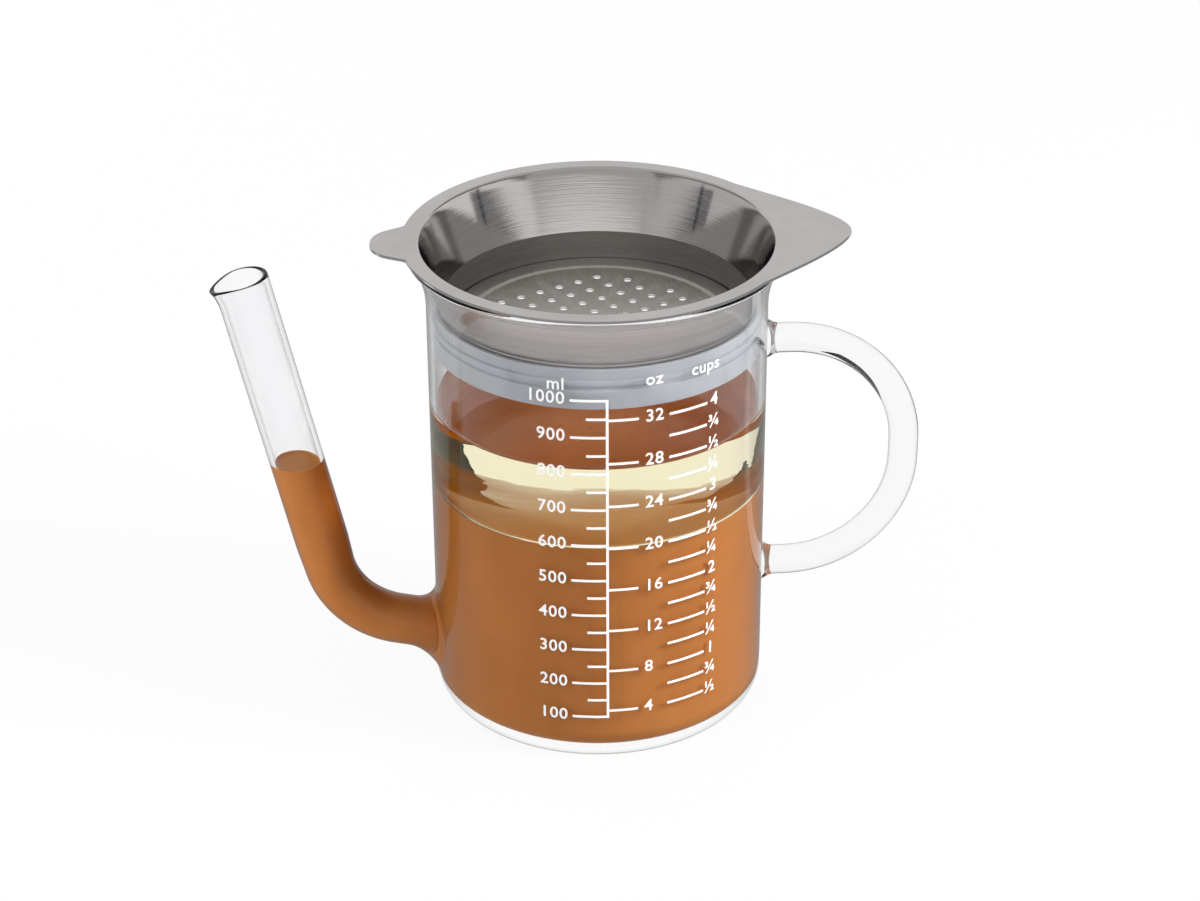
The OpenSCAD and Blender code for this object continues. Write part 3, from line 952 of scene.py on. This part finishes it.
def polished_steel():
    """The rim with its tabs, and the inside of the tapered wall."""
    return steel_finish("polished_steel", stretch=(1, 1, 60), scale=40, detail=5, grain=0.6,
                        dark=(0.55, 0.53, 0.52), light=(0.63, 0.61, 0.60), smooth=0.06, rough=0.11,
                        brushing=0.5, relief=0.05, depth=0.0002)


def satin_steel():
    """The outside of the tapered wall and of the collar, left satin from the spinning lathe."""
    return steel_finish("satin_outer_steel", stretch=(1, 1, 45), scale=9, detail=6, grain=0.65,
                        dark=(0.42, 0.385, 0.365), light=(0.62, 0.58, 0.555), smooth=0.3, rough=0.45,
                        brushing=0.5, relief=0.1, depth=0.0002)


def turned_steel():
    """The inside of the collar, with its fine turning lines."""
    return steel_finish("turned_steel", stretch=(1, 1, 400), scale=12, detail=4, grain=0.7,
                        dark=(0.30, 0.295, 0.29), light=(0.46, 0.45, 0.44), smooth=0.22, rough=0.38,
                        brushing=0.6, relief=0.15, depth=0.0002)


def plate_steel():
    """The draining plate, satin and grained along Y."""
    return steel_finish("satin_plate_steel", stretch=(9, 1, 1), scale=260, detail=4, grain=0.6,
                        dark=(0.60, 0.565, 0.525), light=(0.74, 0.705, 0.66), smooth=0.3, rough=0.45,
                        brushing=0.3, relief=0.08, depth=0.0001)


def hole_steel():
    """Edges of the draining holes, which catch the key light and are also painted near white: a painted
    highlight that makes the holes show as bright dots.
    """
    steel = Finish("hole_edges_painted_glint")
    steel.toned(steel.noise(steel.place(), 900, detail=2), (0.90, 0.90, 0.90), (0.97, 0.97, 0.97), 0.25, 0.4)
    steel.set(Metallic=0.6)
    return steel


def silicone_finish():
    """Milky silicone, which scatters light but lets none straight through."""
    silicone = Finish("milky_silicone")
    cloud = silicone.noise(silicone.place(), 90, detail=3)
    silicone.toned(cloud, (0.39, 0.402, 0.427), (0.45, 0.462, 0.487), 0.26, 0.36)
    silicone.set(IOR=SILICONE_IOR, Subsurface_Weight=0.35, Subsurface_Radius=(1.0, 1.0, 1.0),
                 Subsurface_Scale=0.002)
    return silicone


def enamel():
    """Fired white print, a little uneven."""
    white = Finish("white_enamel_print")
    grain = white.noise(white.place(), 900, detail=2)
    white.toned(grain, (0.86, 0.86, 0.86), (0.94, 0.94, 0.94), 0.32, 0.45)
    white.bump(grain, 0.1, 0.00005)
    return white


# -------------------- the object

def outside(centre, normal):
    """The second slot for what faces away from the jug's axis, the first for the rest and the rim's edge."""
    away = normal.x * centre.x + normal.y * centre.y
    return int(away > 0.3 * off_axis(centre) and off_axis(centre) < RIM_R - MM)


def under_fat(centre, normal):
    """The second slot for the beaker's inner wall where the fat lies on it."""
    on_wall = abs(off_axis(centre) - INNER_R) < 0.2 * MM and normal.x * centre.x + normal.y * centre.y < 0
    return int(on_wall and GRAVY_Z < centre.z < FAT_TOP)


def gravy_top(centre, normal):
    """The second slot for the gravy's top, which is seen through the fat and takes a lighter copy of the
    gravy: painted light.
    """
    return int(normal.z > 0.5 and off_axis(centre) < INNER_R and centre.z > GRAVY_Z - MM)


def fat_faces(centre, normal):
    """The second slot where the fat lies on glass, and the third where it lies on gravy."""
    if normal.z < -0.3:
        return 2
    return int(normal.z < 0.05 and off_axis(centre) > INNER_R)


def hole_walls(centre, normal):
    """The second slot for the walls of the draining holes."""
    return int(off_axis(centre) < HOLES_WITHIN and abs(normal.z) < 0.9)


def build_object():
    """Builds and dresses every visible piece, attaches it to its body and hides the CAD solids that it stands
    for.
    """
    glass, steel, turned_band, print_white = clear_glass(), polished_steel(), turned_steel(), enamel()

    jug = fused_glass()
    glass.dress(jug, wetted_finish("wetted_glass", filled=False))
    face_slots(jug, under_fat)
    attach(jug, "jug")
    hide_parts("glass_beaker", "spout_tube", "handle_rod")

    gravy = gravy_filling()
    # The gravy's top under the fat is painted much lighter than the gravy: painted light for the light that
    # the strainer's shade keeps off it
    gravy_finish("gravy", (0.42, 0.155, 0.034), (0.48, 0.185, 0.046)).dress(
        gravy, gravy_finish("gravy_top_painted_light", (0.71, 0.37, 0.012), (0.81, 0.47, 0.030)))
    face_slots(gravy, gravy_top)
    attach(gravy, "jug")
    fat = fat_layer()
    fat_finish("clear_fat").dress(fat, wetted_finish("fat_on_glass", filled=True),
                                  fat_finish("fat_on_gravy", ior=FAT_ON_GRAVY_IOR))
    face_slots(fat, fat_faces)
    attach(fat, "jug")

    outer_steel = satin_steel()
    funnel = funnel_sheet()
    steel.dress(funnel, outer_steel)
    face_slots(funnel, outside)
    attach(funnel, "strainer")
    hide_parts("strainer_funnel")

    collar = collar_band()
    turned_band.dress(collar, outer_steel)
    face_slots(collar, outside)
    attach(collar, "strainer")
    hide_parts("strainer_collar")

    plate = drain_plate()
    # The hole walls carry the near-white painted highlight
    plate_steel().dress(plate, hole_steel())
    face_slots(plate, hole_walls)
    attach(plate, "strainer")
    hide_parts("perforated_plate")

    seal = seal_sleeve()
    silicone_finish().dress(seal)
    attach(seal, "strainer")
    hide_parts("silicone_seal")

    numbers = scale_numbers()
    print_white.dress(numbers)
    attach(numbers, "jug")
    for scale in ("ml_scale", "oz_scale", "cup_scale"):
        print_white.dress(bpy.data.objects[scale])


# -------------------- stage

# The photograph's viewpoint, found by fitting the outlines of body, rims and base
CAMERA_AT = (-0.05575, -0.80746, 0.51945)
CAMERA_AIM = (0.00071, -0.00005, 0.08333)
CAMERA_LENS, SENSOR_W = 87.485, 36
CAMERA_ROLL = -0.0042

WHITE, BLACK = (1, 1, 1, 1), (0, 0, 0, 1)
# Strength of the sky as a light, and the share of plain white in the floor where it is seen directly
SKY_LIGHT, FLOOR_SHARE = 0.4, 0.92
FLOOR_R = 8
# The middle of the jug, which every card faces
CARD_AIM = (0, 0, 0.08)
RING_LIFT = 0.4 * MM

# Name, place, aim, width, height and power in watts
LAMPS = (
    ("key_right", (1.20, -0.45, 0.70), (0, 0, 0.07), 0.5, 0.7, 24),
    ("fill_left", (-0.95, -0.5, 0.5), (0, 0, 0.07), 0.25, 0.7, 6),
    ("back_light", (-0.5, 0.9, 0.6), (0, 0, 0.08), 0.5, 0.5, 3))
# Screens that only reflections see: a pale band all round, with a darker patch low on each side.
# Name, place, width, height and tone
SCREENS = (
    ("screen_front", (0, -1.5, 0.315), 3.4, 0.64, 0.92),
    ("screen_front_high", (0, -1.55, 1.05), 3.6, 0.9, 0.50),
    ("screen_right", (1.35, -0.25, 0.31), 2.9, 0.62, 0.85),
    ("screen_left", (-1.35, -0.25, 0.31), 2.9, 0.62, 0.60),
    ("screen_right_high", (1.4, 0, 1.05), 3.2, 0.95, 0.25),
    ("screen_left_high", (-1.4, 0, 1.05), 3.2, 0.95, 0.25),
    ("patch_right", (1.025, -0.522, 0.25), 1.0, 0.28, 0.24),
    ("patch_left", (-1.025, -0.522, 0.25), 1.0, 0.28, 0.18),
    ("post_right", (0.98, -0.16, 0.2), 0.035, 0.4, 0.01),
    ("post_left", (-0.98, -0.20, 0.2), 0.035, 0.4, 0.01),
    ("screen_back", (0, 1.5, 0.8), 3.4, 1.4, 0.75),
    ("screen_top", (0, 0, 1.8), 3.8, 3.8, 0.55))
# Dark screens that only show in glass and fat: name, place, width, height and tone
SHADES = (
    ("shade_top", (0, 0, 1.15), 3.0, 3.0, 0.02),
    ("shade_right", (1.2, 0.42, 0.75), 1.55, 0.5, 0.02),
    ("shade_right_low", (0.95, 0.62, 0.2), 1.6, 0.36, 0.02),
    ("shade_left", (-1.25, 0.2, 0.75), 1.3, 0.5, 0.02))


def camera():
    """The photograph's own viewpoint, with colours shown as they are."""
    bpy.ops.object.camera_add(location=CAMERA_AT)
    view = bpy.context.object
    view.data.sensor_width = SENSOR_W
    view.data.lens = CAMERA_LENS
    view.data.clip_end = 20
    aim = Vector(CAMERA_AIM) - view.location
    turn = aim.to_track_quat("-Z", "Y").to_matrix() @ Matrix.Rotation(CAMERA_ROLL, 3, "Z")
    view.rotation_euler = turn.to_euler()
    bpy.context.scene.camera = view
    bpy.context.scene.view_settings.view_transform = "Standard"


def seen_directly(tree):
    """1 for camera, glossy and transmission rays, so that these see plain white."""
    rays = tree.nodes.new("ShaderNodeLightPath")
    seen = rays.outputs["Is Camera Ray"]
    for kind in ("Is Glossy Ray", "Is Transmission Ray"):
        either = tree.nodes.new("ShaderNodeMath")
        either.operation = "ADD"
        either.use_clamp = True
        tree.links.new(seen, either.inputs[0])
        tree.links.new(rays.outputs[kind], either.inputs[1])
        seen = either.outputs[0]
    return seen


def world():
    """A sky that is plain white to look at and dimmer as a light."""
    sky = bpy.data.worlds.new("studio")
    bpy.context.scene.world = sky
    sky.use_nodes = True
    tree = sky.node_tree
    background = tree.nodes["Background"]
    fill_in(background, {"Color": WHITE})
    strength = tree.nodes.new("ShaderNodeMapRange")
    fill_in(strength, {"To_Min": SKY_LIGHT, "To_Max": 1.0})
    tree.links.new(seen_directly(tree), strength.inputs["Value"])
    tree.links.new(strength.outputs["Result"], background.inputs["Strength"])


def floor():
    """A wide white floor that takes soft shadows and looks almost plain white."""
    deselect()
    bpy.ops.mesh.primitive_circle_add(vertices=96, radius=FLOOR_R, fill_type="NGON", location=(0, 0, 0))
    ground = new_piece("floor")
    paper = Finish("white_floor")
    paper.set(Base_Color=(0.9, 0.9, 0.9, 1), Roughness=0.9)
    glow = paper.add("ShaderNodeEmission", Color=WHITE)
    share = paper.add("ShaderNodeMath")
    share.operation = "MULTIPLY"
    share.inputs[1].default_value = FLOOR_SHARE
    paper.link(seen_directly(paper.tree), share.inputs[0])
    mix = paper.add("ShaderNodeMixShader")
    paper.link(share.outputs[0], mix.inputs[0])
    paper.link(paper.shader.outputs[0], mix.inputs[1])
    paper.link(glow.outputs[0], mix.inputs[2])
    paper.link(mix.outputs[0], paper.output.inputs["Surface"])
    paper.dress(ground)


def screen_paper(sheet, name, glow):
    """Plain paper of an even tone. The camera and the lamps don't see it."""
    paper = Finish(name)
    paper.set(Base_Color=BLACK, Specular_IOR_Level=0, Emission_Color=WHITE, Emission_Strength=glow)
    paper.dress(sheet)
    sheet.visible_camera = sheet.visible_diffuse = sheet.visible_shadow = False
    return sheet


def card(name, place, width, height, glow):
    """A flat card that only reflections or glass can see, facing the jug."""
    deselect()
    turn = (Vector(CARD_AIM) - Vector(place)).to_track_quat("Z", "Y").to_euler()
    bpy.ops.mesh.primitive_plane_add(size=1, location=place, rotation=turn)
    sheet = bpy.context.object
    sheet.name = name
    sheet.scale = (width, height, 1)
    settle()
    return screen_paper(sheet, name, glow)


def ring(name, inner, outer, glow):
    """A grey ring lying just over the floor round the jug, which only reflections see."""
    deselect()
    bpy.ops.mesh.primitive_circle_add(vertices=72, radius=inner, fill_type="NOTHING",
                                      location=(0, 0, RING_LIFT))
    sheet = new_piece(name)
    mode("EDIT")
    select_mesh()
    bpy.ops.mesh.extrude_edges_move()
    bpy.ops.transform.resize(value=(outer / inner, outer / inner, 1))
    mode("OBJECT")
    return screen_paper(sheet, name, glow)


def softbox(name, place, aim, width, height, power):
    """A lamp that is never seen itself, neither straight nor in a reflection."""
    deselect()
    bpy.ops.object.light_add(type="AREA", location=place)
    lamp = bpy.context.object
    lamp.name = name
    lamp.data.shape = "RECTANGLE"
    lamp.data.size = width
    lamp.data.size_y = height
    lamp.data.energy = power
    lamp.rotation_euler = (Vector(aim) - Vector(place)).to_track_quat("-Z", "Y").to_euler()
    lamp.visible_camera = lamp.visible_glossy = lamp.visible_transmission = False


def stage():
    """Sky, floor, lamps, and the screens that only reflections or glass see."""
    world()
    floor()
    for lamp in LAMPS:
        softbox(*lamp)
    for screen in SCREENS:
        card(*screen).visible_transmission = False
    ring("ring_on_floor", inner=0.056, outer=0.7, glow=0.4).visible_transmission = False
    for shade in SHADES:
        card(*shade).visible_glossy = False


camera()
build_object()
stage()
